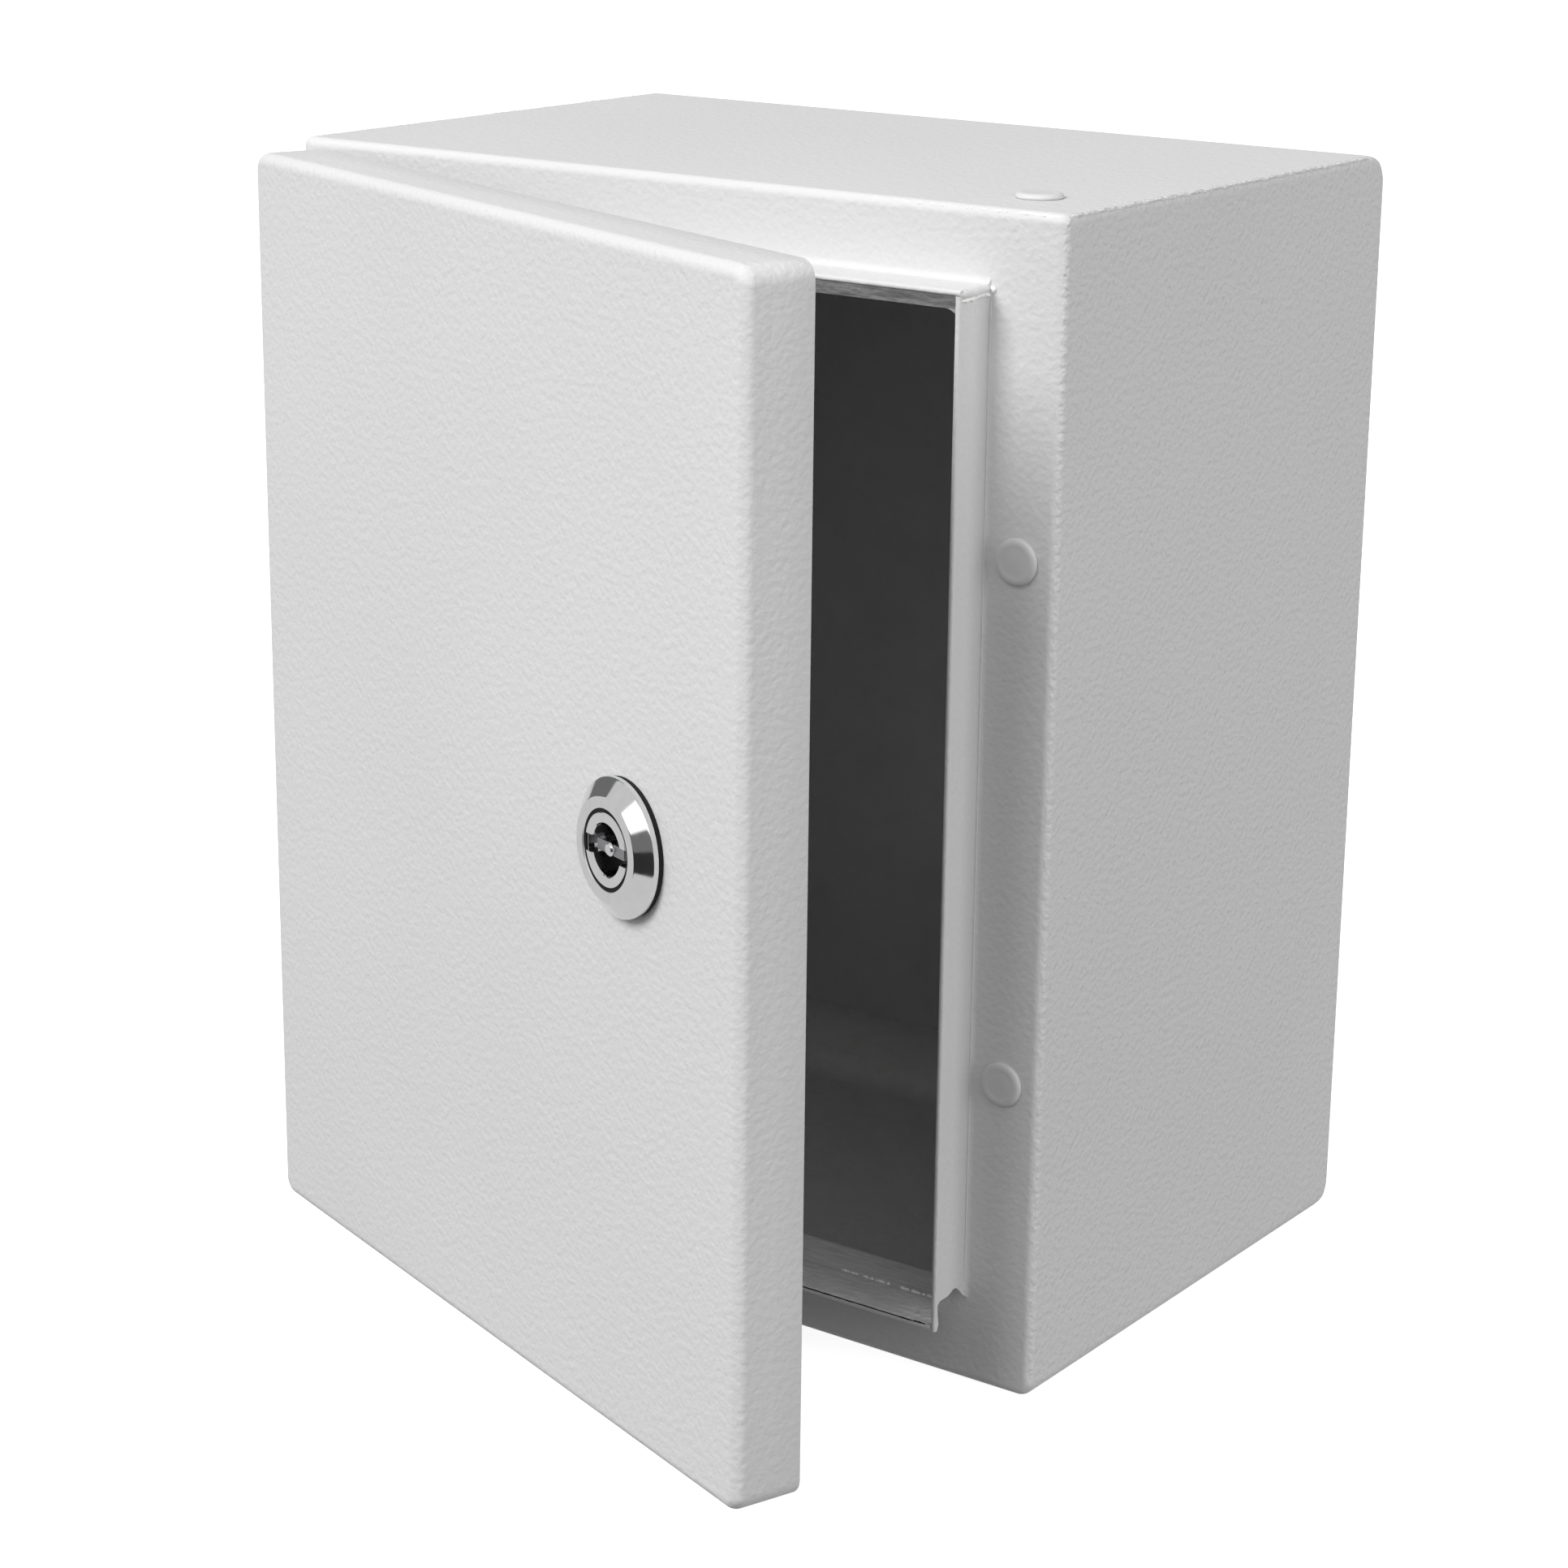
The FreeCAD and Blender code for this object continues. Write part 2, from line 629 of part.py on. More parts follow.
def lock_bit():
    """Centre pin and the two bits that a double-bit key turns."""
    front = FACE_Y - LOCK_PROUD + 0.1
    floor = front + SOCKET_DEPTH
    pin_front = front + 0.6
    pin = cylinder((LOCK_X, floor, LOCK_Z), (0, -1, 0), 1.5, floor - pin_front)
    pin = pin.makeChamfer(0.4, [e for e in pin.Edges if e.BoundBox.YMax < pin_front + 0.1])
    reach = SOCKET_R - 0.2
    wings = box(LOCK_X - reach, LOCK_X + reach, front + 1.3, floor, LOCK_Z - 1.2, LOCK_Z + 1.2)
    return join([pin, wings])


def lock_cam():
    """Tongue that hangs down when unlocked and turns behind the right flange."""
    half = CAM_W / 2
    tip = LOCK_Z - CAM_LENGTH
    root = cylinder((LOCK_X, CAM_Y, LOCK_Z), (0, 1, 0), half + 1.0, CAM_T)
    arm = box(LOCK_X - half, LOCK_X + half, CAM_Y, CAM_Y + CAM_T, tip, LOCK_Z)
    arm = round_edges(arm, 3.0, vec(0, 1, 0), lambda c: c.z < LOCK_Z - 1)
    size = 3.5 + FIT
    hole = box(LOCK_X - size, LOCK_X + size, CAM_Y - 1, CAM_Y + CAM_T + 1, LOCK_Z - size, LOCK_Z + size)
    return join([root, arm]).cut(hole)


def cam_washer():
    return tube((LOCK_X, CAM_Y + CAM_T, LOCK_Z), (0, 1, 0), 6.5, 2.2, 1.2)


def cam_screw():
    head_y = CAM_Y + CAM_T + 1.2
    head = hexagon((LOCK_X, head_y, LOCK_Z), (0, 1, 0), 8.0, 3.5)
    shank = cylinder((LOCK_X, head_y, LOCK_Z), (0, -1, 0), 2.0, 10.0)
    return join([head, shank])


def build():
    right = side_panel_right()
    plug_y = FLANGE_Y + TOP_PLUG_BEHIND_FRONT
    inward = (1, 0, 0)
    door_inward = (0, 1, 0)
    fixed = {
        "body_wrap": body_wrap(),
        "side_panel_right": right,
        "side_panel_left": mirror_x(right),
        "sill_angle": sill_angle(),
        "mounting_plate": mounting_plate(),
        "plate_studs": plate_studs(),
        "plate_spacers": plate_spacers(),
        "plate_washers": plate_washers(),
        "plate_nuts": plate_nuts(),
        "body_earth_stud": earth_stud(BODY_EARTH, inward),
        "body_earth_washers": earth_washers(BODY_EARTH, inward),
        "body_earth_nut": earth_nut(BODY_EARTH, inward),
        "flange_plug_upper": plug((PLUG_X, FLANGE_Y, PLUG_Z), (0, -1, 0)),
        "flange_plug_lower": plug((PLUG_X, FLANGE_Y, -PLUG_Z), (0, -1, 0)),
        "top_plug": plug((TOP_PLUG_X, plug_y, HALF_H), (0, 0, 1)),
        "hinge_screws": both_hinges(hinge_screw),
        "hinge_washers": both_hinges(hinge_washer),
        "hinge_nuts": both_hinges(hinge_nut),
        "pin_clips": both_hinges(pin_clip),
    }
    on_door = {
        "door_panel": door_panel(),
        "door_gasket": door_gasket(),
        "door_earth_stud": earth_stud(DOOR_EARTH, door_inward),
        "door_earth_washers": earth_washers(DOOR_EARTH, door_inward),
        "door_earth_nut": earth_nut(DOOR_EARTH, door_inward),
        "lock_housing": lock_housing(),
        "lock_seal": lock_seal(),
        "lock_washer": lock_washer(),
        "lock_nut": lock_nut(),
        "lock_insert": lock_insert(),
        "lock_bit": lock_bit(),
        "lock_cam": lock_cam(),
        "cam_washer": cam_washer(),
        "cam_screw": cam_screw(),
    }
    for name, (z, side) in zip(("upper", "lower"), hinge_ends()):
        fixed["hinge_bracket_" + name] = at_hinge(bracket(), z, side)
        fixed["hinge_pin_" + name] = at_hinge(hinge_pin(), z, side)
        on_door["hinge_leaf_" + name] = at_hinge(leaf(), z, side)
    nodes = dict(fixed)
    for name, shape in on_door.items():
        nodes[name] = swing(shape)
    return nodes


os.makedirs("parts", exist_ok=True)
for node, shape in build().items():
    if not shape.isValid():
        raise ValueError(node + " is not a valid shape")
    shape.exportStep("parts/" + node + ".step")
    print(node, len(shape.Solids), "solids", round(shape.Volume), "mm3")
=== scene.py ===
import math
import random

import bmesh
import bpy
from mathutils import Matrix, Vector, noise


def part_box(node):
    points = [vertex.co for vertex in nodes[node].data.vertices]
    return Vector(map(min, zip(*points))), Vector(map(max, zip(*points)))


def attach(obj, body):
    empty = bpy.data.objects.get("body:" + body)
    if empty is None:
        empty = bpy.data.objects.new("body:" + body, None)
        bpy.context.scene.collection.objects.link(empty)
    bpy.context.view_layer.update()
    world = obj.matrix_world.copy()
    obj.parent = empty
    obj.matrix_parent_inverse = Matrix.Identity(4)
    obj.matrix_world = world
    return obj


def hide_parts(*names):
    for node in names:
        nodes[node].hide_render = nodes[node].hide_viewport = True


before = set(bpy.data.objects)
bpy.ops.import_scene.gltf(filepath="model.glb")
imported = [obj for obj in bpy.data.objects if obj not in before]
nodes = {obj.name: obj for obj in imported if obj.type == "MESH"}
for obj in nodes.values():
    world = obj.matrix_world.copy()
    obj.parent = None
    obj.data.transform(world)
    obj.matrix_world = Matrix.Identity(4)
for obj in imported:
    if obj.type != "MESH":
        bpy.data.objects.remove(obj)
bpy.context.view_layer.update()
scene = bpy.context.scene

# ---- Camera and light, in metres, degrees and watts ----

CAMERA_PLACE = (0.469722, -0.735764, 0.219718)
CAMERA_LENS = 84.07
CAMERA_AZIMUTH = 35.816
CAMERA_ELEVATION = 16.521
CAMERA_ROLL = 0.632

LIGHT_TARGET = (0.0, -0.1, 0.0)
KEY_PLACE = (-0.35, -1.60, 1.25)
KEY_SIZE = 0.9
KEY_POWER = 30.8
SIDE_PLACE = (1.65, -0.05, 0.30)
SIDE_SIZE = 1.0
SIDE_POWER = 9.7

DOME_TOWARD = (-0.15, -0.77, 0.58)
DOME_BRIGHT = 0.69
DOME_DIM = 0.05
SWEEP_BRIGHT = 0.4
BELOW = 0.12
SHINE = 0.62
# What polished metal reflects: (level, left, right, low, high). The sides are headings from the front in
# radians, and the ends are heights of the direction.
CARDS = [
    (0.16, -2.00, -1.38, -0.06, 0.80),
    (1.30, -0.70, 0.30, 0.24, 0.55),
    (0.17, -0.60, 0.40, -0.08, 0.24),
    (0.03, -0.70, 0.50, -0.47, -0.08),
]

FLOOR_HALF = 4.0
FLOOR_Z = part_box("body_wrap")[0].z - 0.0005

# ---- Sizes and places of the object, in millimetres, with the door closed ----

MM = 0.001
SHEET = 1.2

FLANGE_Y = -132.5
COLLAR_Y = -143.5
COLLAR_X = 83.36
COLLAR_TOP = 109.0
SEAM_X = 99.3
SEAM_Z = 124.3
BEND_Y = FLANGE_Y + 0.64
BEND_Z = 124.36
SILL_Z = -108.75
PLUG_X = 91.0
PLUG_Z = 55.5
TOP_PLUG = (82.0, FLANGE_Y + 18.7, 125.0)

FACE_Y = -150.0
LINING_Y = FACE_Y + SHEET
RIM_Y = -134.5
DOOR_X = 98.0
DOOR_Z = 123.0
DOOR_CORNER = 4.0
DOOR_EDGE = 2.5
SLOT_LOW = 48.0
SLOT_HIGH = 77.5
SLOT_Y = -142.0
SIDE_STOPS = [-96, -SLOT_HIGH, -62, -SLOT_LOW, -32, -16, 0, 16, 32, SLOT_LOW, 62, SLOT_HIGH, 96]
END_STOPS = [-75, -50, -25, 0, 25, 50, 75]

GASKET_X = 88.4
GASKET_Z = 115.4
GASKET_WIDTH = 12.0
GASKET_CORNER = 8.0
GASKET_INNER_CORNER = 3.0

LOCK_X = 57.5
LOCK_Z = 4.5
LOCK_HOLE = 10.1
SEAT_Y = FACE_Y - 1.2
HOUSING_FRONT = FACE_Y - 4.8
HOUSING_REAR = -131.5
BARREL_FRONT = FACE_Y - 4.7
BARREL_SHOULDER = -136.1
CAM_SEAT = -131.0
KEYWAY_DEPTH = 9.0
KEYWAY_HALF = 1.8
FINE_TURN = 160
PLAIN_TURN = 128
SMALL_TURN = 96

# The door at rest, open by 20 degrees about its hinge line. Matrices are in metres.
HINGE = Vector((-0.093, -0.1425, 0.0))
SWING = Matrix.Translation(HINGE) @ Matrix.Rotation(math.radians(-20.0), 4, "Z") @ Matrix.Translation(-HINGE)
STILL = Matrix.Identity(4)

# ---- Paint, in metres ----

PEEL_SCALE = 700.0
PEEL_DEPTH = 0.00032
PEEL_STRENGTH = 0.65
FLANK_PEEL = 2.6
# Boxes where the coat turns to streaky thin paint, as (low, high) along each axis: darkened on the lip as
# painted shade, lightened on the sill as painted light.
COLLAR_SPAN = (-0.0817, 0.0817)
LIP_STREAKS_AND_SHADE_Y = (-0.1437, -0.1395)
LIP_STREAKS_AND_SHADE_Z = (0.1015, 0.1091)
SILL_STREAKS_AND_LIGHT_Y = (-0.1430, -0.1328)
SILL_STREAKS_AND_LIGHT_Z = (-0.1099, -0.1080)
# Where the orange peel is deeper: the outer face of the right side panel.
FLANK_X = (0.0993, 0.2)
FLANK_Y = (-0.1327, 0.01)


# ---- Camera ----


def make_camera():
    """The camera, aimed by azimuth, elevation and roll."""
    data = bpy.data.cameras.new("camera")
    data.sensor_width = 36.0
    data.lens = CAMERA_LENS
    data.clip_start = 0.01
    data.clip_end = 50.0
    camera = bpy.data.objects.new("camera", data)
    scene.collection.objects.link(camera)
    azimuth = math.radians(CAMERA_AZIMUTH)
    elevation = math.radians(CAMERA_ELEVATION)
    roll = math.radians(CAMERA_ROLL)
    ahead = Vector((
        -math.sin(azimuth) * math.cos(elevation),
        math.cos(azimuth) * math.cos(elevation),
        -math.sin(elevation),
    ))
    right = ahead.cross(Vector((0, 0, 1))).normalized()
    up = right.cross(ahead)
    right_rolled = math.cos(roll) * right + math.sin(roll) * up
    up_rolled = -math.sin(roll) * right + math.cos(roll) * up
    axes = Matrix((right_rolled, up_rolled, -ahead)).transposed()
    camera.matrix_world = Matrix.Translation(CAMERA_PLACE) @ axes.to_4x4()
    scene.camera = camera


# ---- Light ----


def area_light(name, place, size, power):
    data = bpy.data.lights.new(name, "AREA")
    data.shape = "SQUARE"
    data.size = size
    data.energy = power
    light = bpy.data.objects.new(name, data)
    scene.collection.objects.link(light)
    light.location = place
    light.rotation_mode = "QUATERNION"
    light.rotation_quaternion = (Vector(LIGHT_TARGET) - Vector(place)).to_track_quat("-Z", "Y")
    light.visible_glossy = False


def make_world():
    """A white studio: bright from above and in front, dim from behind, with a pale sweep low at the back."""
    world = bpy.data.worlds.new("studio")
    scene.world = world
    world.use_nodes = True
    tree = world.node_tree
    tree.nodes.clear()
    link = tree.links.new

    def mapped(value, low, high, to_low, to_high):
        node = tree.nodes.new("ShaderNodeMapRange")
        node.interpolation_type = "SMOOTHSTEP"
        node.inputs["From Min"].default_value = low
        node.inputs["From Max"].default_value = high
        node.inputs["To Min"].default_value = to_low
        node.inputs["To Max"].default_value = to_high
        link(value, node.inputs["Value"])
        return node.outputs["Result"]

    def maths(kind, *values):
        node = tree.nodes.new("ShaderNodeMath")
        node.operation = kind
        for value, socket in zip(values, node.inputs):
            if isinstance(value, float):
                socket.default_value = value
            else:
                link(value, socket)
        return node.outputs[0]

    def edge(value, at, falling=False):
        low, high = (1.0, 0.0) if falling else (0.0, 1.0)
        return mapped(value, at - 0.02, at + 0.02, low, high)

    def shown(colour):
        node = tree.nodes.new("ShaderNodeBackground")
        node.inputs["Color"].default_value = (1, 1, 1, 1)
        if colour is not None:
            link(colour, node.inputs["Color"])
        return node.outputs[0]

    def mixed(factor, a, b):
        node = tree.nodes.new("ShaderNodeMixShader")
        link(factor, node.inputs["Fac"])
        link(a, node.inputs[1])
        link(b, node.inputs[2])
        return node.outputs[0]

    place = tree.nodes.new("ShaderNodeTexCoord").outputs["Generated"]
    parts = tree.nodes.new("ShaderNodeSeparateXYZ")
    link(place, parts.inputs[0])
    toward = tree.nodes.new("ShaderNodeVectorMath")
    toward.operation = "DOT_PRODUCT"
    toward.inputs[1].default_value = Vector(DOME_TOWARD).normalized()
    link(place, toward.inputs[0])
    dome = mapped(toward.outputs["Value"], -0.25, 0.25, DOME_DIM, DOME_BRIGHT)
    sweep = maths(
        "MULTIPLY",
        mapped(parts.outputs["Z"], -0.31, -0.25, SWEEP_BRIGHT, 0.0),
        mapped(parts.outputs["Y"], -0.1, 0.3, 0.0, 1.0),
    )
    dome = maths("MULTIPLY", dome, mapped(parts.outputs["Z"], -0.14, 0.12, BELOW, 1.0))
    heading = maths("ARCTAN2", parts.outputs["X"], maths("MULTIPLY", parts.outputs["Y"], -1.0))
    shine = None
    for level, left, right, low, high in CARDS:
        sides = maths("MULTIPLY", edge(heading, left), edge(heading, right, True))
        ends = maths("MULTIPLY", edge(parts.outputs["Z"], low), edge(parts.outputs["Z"], high, True))
        card = maths("MULTIPLY", maths("MULTIPLY", sides, ends), level - SHINE)
        shine = maths("ADD", card, SHINE if shine is None else shine)
    lit = shown(maths("ADD", dome, sweep))
    rays = tree.nodes.new("ShaderNodeLightPath")
    lit = mixed(rays.outputs["Is Glossy Ray"], lit, shown(shine))
    lit = mixed(rays.outputs["Is Camera Ray"], lit, shown(None))
    link(lit, tree.nodes.new("ShaderNodeOutputWorld").inputs["Surface"])


def make_floor():
    """A white floor that only the camera sees."""
    mesh = bpy.data.meshes.new("floor")
    half = FLOOR_HALF
    mesh.from_pydata(
        [(-half, -half, FLOOR_Z), (half, -half, FLOOR_Z), (half, half, FLOOR_Z), (-half, half, FLOOR_Z)],
        [],
        [(0, 1, 2, 3)],
    )
    floor = bpy.data.objects.new("floor", mesh)
    scene.collection.objects.link(floor)
    material = bpy.data.materials.new("floor")
    material.use_nodes = True
    surface = material.node_tree.nodes["Principled BSDF"]
    surface.inputs["Base Color"].default_value = (0.96, 0.96, 0.96, 1)
    surface.inputs["Roughness"].default_value = 0.9
    surface.inputs["Emission Color"].default_value = (1, 1, 1, 1)
    surface.inputs["Emission Strength"].default_value = 0.8
    mesh.materials.append(material)
    floor.visible_diffuse = False
    floor.visible_glossy = False
    floor.visible_shadow = False


# ---- Materials ----


class Nodes:
    """A material's node tree with short calls for the nodes used here."""

    def __init__(self, name):
        self.material = bpy.data.materials.new(name)
        self.material.use_nodes = True
        self.tree = self.material.node_tree
        self.surface = self.tree.nodes["Principled BSDF"]
        place = self.tree.nodes.new("ShaderNodeTexCoord")
        self.place = place.outputs["Object"]

    def link(self, source, target):
        self.tree.links.new(source, target)

    def noise(self, scale, detail, roughness=0.5, vector=None):
        node = self.tree.nodes.new("ShaderNodeTexNoise")
        node.inputs["Scale"].default_value = scale
        node.inputs["Detail"].default_value = detail
        node.inputs["Roughness"].default_value = roughness
        self.link(vector or self.place, node.inputs["Vector"])
        return node.outputs["Fac"]

    def stretch(self, scale):
        node = self.tree.nodes.new("ShaderNodeMapping")
        node.inputs["Scale"].default_value = scale
        self.link(self.place, node.inputs["Vector"])
        return node.outputs["Vector"]

    def span(self, value, low, high, source_low=0.3, source_high=0.7):
        node = self.tree.nodes.new("ShaderNodeMapRange")
        node.inputs["From Min"].default_value = source_low
        node.inputs["From Max"].default_value = source_high
        node.inputs["To Min"].default_value = low
        node.inputs["To Max"].default_value = high
        self.link(value, node.inputs["Value"])
        return node.outputs["Result"]

    def between(self, factor, dark, light):
        node = self.tree.nodes.new("ShaderNodeMix")
        node.data_type = "RGBA"
        node.inputs[6].default_value = (*dark, 1)
        node.inputs[7].default_value = (*light, 1)
        self.link(factor, node.inputs[0])
        return node.outputs[2]

    def maths(self, kind, a, b):
        node = self.tree.nodes.new("ShaderNodeMath")
        node.operation = kind
        self.link(a, node.inputs[0])
        self.link(b, node.inputs[1])
        return node.outputs[0]

    def inside(self, axis, low, high, soft=0.0002):
        """1 where a coordinate is between low and high, in metres, and 0 elsewhere."""
        parts = self.tree.nodes.new("ShaderNodeSeparateXYZ")
        self.link(self.place, parts.inputs[0])
        rise = self.span(parts.outputs[axis], 0.0, 1.0, low - soft, low + soft)
        fall = self.span(parts.outputs[axis], 1.0, 0.0, high - soft, high + soft)
        return self.maths("MULTIPLY", rise, fall)

    def mixed(self, factor, a, b):
        node = self.tree.nodes.new("ShaderNodeMix")
        node.data_type = "RGBA"
        self.link(factor, node.inputs[0])
        self.link(a, node.inputs[6])
        self.link(b, node.inputs[7])
        return node.outputs[2]

    def bump(self, height, distance, strength):
        node = self.tree.nodes.new("ShaderNodeBump")
        node.inputs["Strength"].default_value = strength
        node.inputs["Distance"].default_value = distance
        self.link(height, node.inputs["Height"])
        return node.outputs["Normal"]


def streaks(m, dark, light):
    """Thinly painted, rolled sheet: light and dark streaks along X."""
    fine = m.noise(1.0, 4.0, 0.65, m.stretch((110.0, 900.0, 900.0)))
    return m.between(m.span(fine, 0.0, 1.0, 0.32, 0.68), (dark, dark, dark), (light, light, light))


def structured_paint():
    """Light grey powder coat with an orange-peel surface, thinner and streaky on the rolled lip and on the
    sill; the lip's streaks are darkened as painted shade and the sill's are lightened as painted light.
    """
    m = Nodes("structured_paint")
    cloud = m.noise(9.0, 3.0)
    coat = m.between(m.span(cloud, 0.0, 1.0), (0.675, 0.68, 0.675), (0.70, 0.705, 0.70))
    middle = m.inside("X", *COLLAR_SPAN, 0.00005)
    lip = m.maths("MULTIPLY", m.inside("Z", *LIP_STREAKS_AND_SHADE_Z), m.inside("Y", *LIP_STREAKS_AND_SHADE_Y))
    sill = m.maths("MULTIPLY", m.inside("Z", *SILL_STREAKS_AND_LIGHT_Z), m.inside("Y", *SILL_STREAKS_AND_LIGHT_Y))
    # The lip's streaks are much darker than the coat: painted shade on the rolled lip.
    coat = m.mixed(m.maths("MULTIPLY", lip, middle), coat, streaks(m, 0.18, 0.50))
    # The sill's streaks are lighter than the coat: painted light on the sill.
    coat = m.mixed(m.maths("MULTIPLY", sill, middle), coat, streaks(m, 0.66, 0.90))
    m.link(coat, m.surface.inputs["Base Color"])
    peel = m.noise(PEEL_SCALE, 1.5, 0.45)
    m.link(m.span(peel, 0.36, 0.46), m.surface.inputs["Roughness"])
    flank = m.maths("MULTIPLY", m.inside("X", *FLANK_X), m.inside("Y", *FLANK_Y))
    depth = m.span(flank, 1.0, FLANK_PEEL, 0.0, 1.0)
    height = m.maths("MULTIPLY", m.span(peel, -0.5, 0.5, 0.0, 1.0), depth)
    m.link(m.bump(height, PEEL_DEPTH, PEEL_STRENGTH), m.surface.inputs["Normal"])
    m.surface.inputs["IOR"].default_value = 1.5
    return m.material


def rolled_sheet_and_painted_light():
    """Bare rolled sheet with streaks along X, its tone raised above the coat as painted light on the sill."""
    m = Nodes("rolled_sheet_and_painted_light")
    m.link(streaks(m, 0.68, 0.92), m.surface.inputs["Base Color"])
    grain = m.noise(PEEL_SCALE, 2.0)
    m.link(m.span(grain, 0.42, 0.56), m.surface.inputs["Roughness"])
    m.link(m.bump(grain, 0.0001, 0.6), m.surface.inputs["Normal"])
    return m.material


def simple(name, colour, roughness, metallic=0.0, scale=300.0, spread=0.05):
    """A plain material with a fine grain in its colour and roughness."""
    m = Nodes(name)
    grain = m.noise(scale, 3.0)
    dark = tuple(c * 0.94 for c in colour)
    m.link(m.between(m.span(grain, 0.0, 1.0), dark, colour), m.surface.inputs["Base Color"])
    m.link(m.span(grain, roughness - spread, roughness + spread), m.surface.inputs["Roughness"])
    m.surface.inputs["Metallic"].default_value = metallic
    return m.material


def paint(material, *names):
    for name in names:
        mesh = nodes[name].data
        mesh.materials.clear()
        mesh.materials.append(material)


def dress(skin_paint):
    """Materials for the nodes that are shown as the CAD has them."""
    paint(skin_paint, "body_wrap", "side_panel_right", "side_panel_left")
    # The sill angle is lightened as painted light.
    paint(rolled_sheet_and_painted_light(), "sill_angle")
    paint(simple("galvanised", (0.50, 0.50, 0.51), 0.5, 0.35, 60.0), "mounting_plate")
    paint(
        simple("zinc", (0.52, 0.53, 0.55), 0.36, 1.0, 600.0, 0.12),
        "plate_studs", "plate_spacers", "plate_washers", "plate_nuts", "body_earth_washers", "body_earth_nut",
        "door_earth_washers", "door_earth_nut", "hinge_screws", "hinge_washers", "hinge_nuts", "lock_washer",
        "hinge_bracket_upper", "hinge_bracket_lower", "hinge_leaf_upper", "hinge_leaf_lower", "lock_nut",
        "lock_cam", "cam_washer", "cam_screw", "hinge_pin_upper", "hinge_pin_lower",
    )
    paint(simple("copper", (0.72, 0.42, 0.28), 0.35, 1.0, 900.0), "body_earth_stud", "door_earth_stud")
    paint(simple("spring_steel", (0.12, 0.12, 0.13), 0.4, 0.9), "pin_clips")


# ---- Mesh making: outlines and places in millimetres ----


def rounded(points, radius, steps=4, closed=True):
    """The outline with its corners rounded off."""
    soft = []
    last = len(points) - 1
    for i, point in enumerate(points):
        here = Vector(point)
        if not closed and i in (0, last):
            soft.append(here)
            continue
        before = Vector(points[i - 1]) - here
        after = Vector(points[(i + 1) % len(points)]) - here
        start = here + before.normalized() * min(radius, 0.45 * before.length)
        end = here + after.normalized() * min(radius, 0.45 * after.length)
        for k in range(steps + 1):
            t = k / steps
            soft.append((1 - t) ** 2 * start + 2 * t * (1 - t) * here + t * t * end)
    return soft


def skin(rings, closed_rings=True, closed_loop=False):
    """Faces between neighbouring rings of points, which all have the same number of points."""
    verts = [point for ring in rings for point in ring]
    count = len(rings[0])
    faces = []
    pairs = len(rings) if closed_loop else len(rings) - 1
    steps = count if closed_rings else count - 1
    for i in range(pairs):
        a = i * count
        b = (i + 1) % len(rings) * count
        for k in range(steps):
            n = (k + 1) % count
            faces.append((a + k, a + n, b + n, b + k))
    return verts, faces


def cap(faces, first, count):
    faces.append(tuple(range(first, first + count)))


def joined(*parts):
    verts = []
    faces = []
    for part_verts, part_faces in parts:
        start = len(verts)
        verts.extend(part_verts)
        faces.extend(tuple(start + k for k in face) for face in part_faces)
    return verts, faces


def lathe(outline, x, z, segments=PLAIN_TURN, closed=False):
    """Turns an outline of (radius, y) about the line along Y through (x, z)."""
    turn = [2 * math.pi * k / segments for k in range(segments)]
    rings = []
    for radius, y in outline:
        rings.append([(x + radius * math.cos(a), y, z + radius * math.sin(a)) for a in turn])
    return skin(rings, True, closed)


def slab(outline, front, back, bevel):
    """A solid of the (x, z) outline from front to back, with its front edge bevelled."""
    middle = Vector((sum(p[0] for p in outline), sum(p[1] for p in outline))) / len(outline)
    small = [Vector(p) + (middle - Vector(p)).normalized() * bevel for p in outline]
    rings = [[(p[0], front, p[1]) for p in small]]
    rings.append([(p[0], front + bevel, p[1]) for p in outline])
    rings.append([(p[0], back, p[1]) for p in outline])
    verts, faces = skin(rings)
    cap(faces, 0, len(outline))
    cap(faces, 2 * len(outline), len(outline))
    return verts, faces


def bead(path, radius, seed, sides=10, rough=0.35, squash=1.0):
    """A weld or paint bead along a path, with an uneven radius and closed ends."""
    rings = []
    points = [Vector(p) for p in path]
    for i, point in enumerate(points):
        ahead = (points[min(i + 1, len(points) - 1)] - points[max(i - 1, 0)]).normalized()
        across = ahead.cross(Vector((0.3, 0.2, 0.93))).normalized()
        up = ahead.cross(across)
        end = min(i, len(points) - 1 - i)
        size = radius * min(1.0, 0.35 + 0.35 * end)
        ring = []
        for k in range(sides):
            a = 2 * math.pi * k / sides
            lump = 1 + rough * noise.noise(point * 0.9 + Vector((seed, math.cos(a), math.sin(a))))
            offset = (across * math.cos(a) + up * math.sin(a) * squash) * size * lump
            ring.append(tuple(point + offset))
        rings.append(ring)
    verts, faces = skin(rings)
    cap(faces, 0, sides)
    cap(faces, (len(rings) - 1) * sides, sides)
    return verts, faces


def line(start, end, step=0.7):
    a = Vector(start)
    b = Vector(end)
    count = max(3, int((b - a).length / step))
    return [a.lerp(b, k / count) for k in range(count + 1)]


def nib(place, size, squash):
    """A small lump in the paint."""
    sides = 10
    bands = 6
    turn = [2 * math.pi * k / sides for k in range(sides)]
    rings = []
    for i in range(1, bands):
        tilt = math.pi * i / bands
        rings.append([
            (
                place[0] + size * squash[0] * math.sin(tilt) * math.cos(a),
                place[1] + size * squash[1] * math.sin(tilt) * math.sin(a),
                place[2] + size * squash[2] * math.cos(tilt),
            )
            for a in turn
        ])
    verts, faces = skin(rings)
    cap(faces, 0, sides)
    cap(faces, (len(rings) - 1) * sides, sides)
    return verts, faces


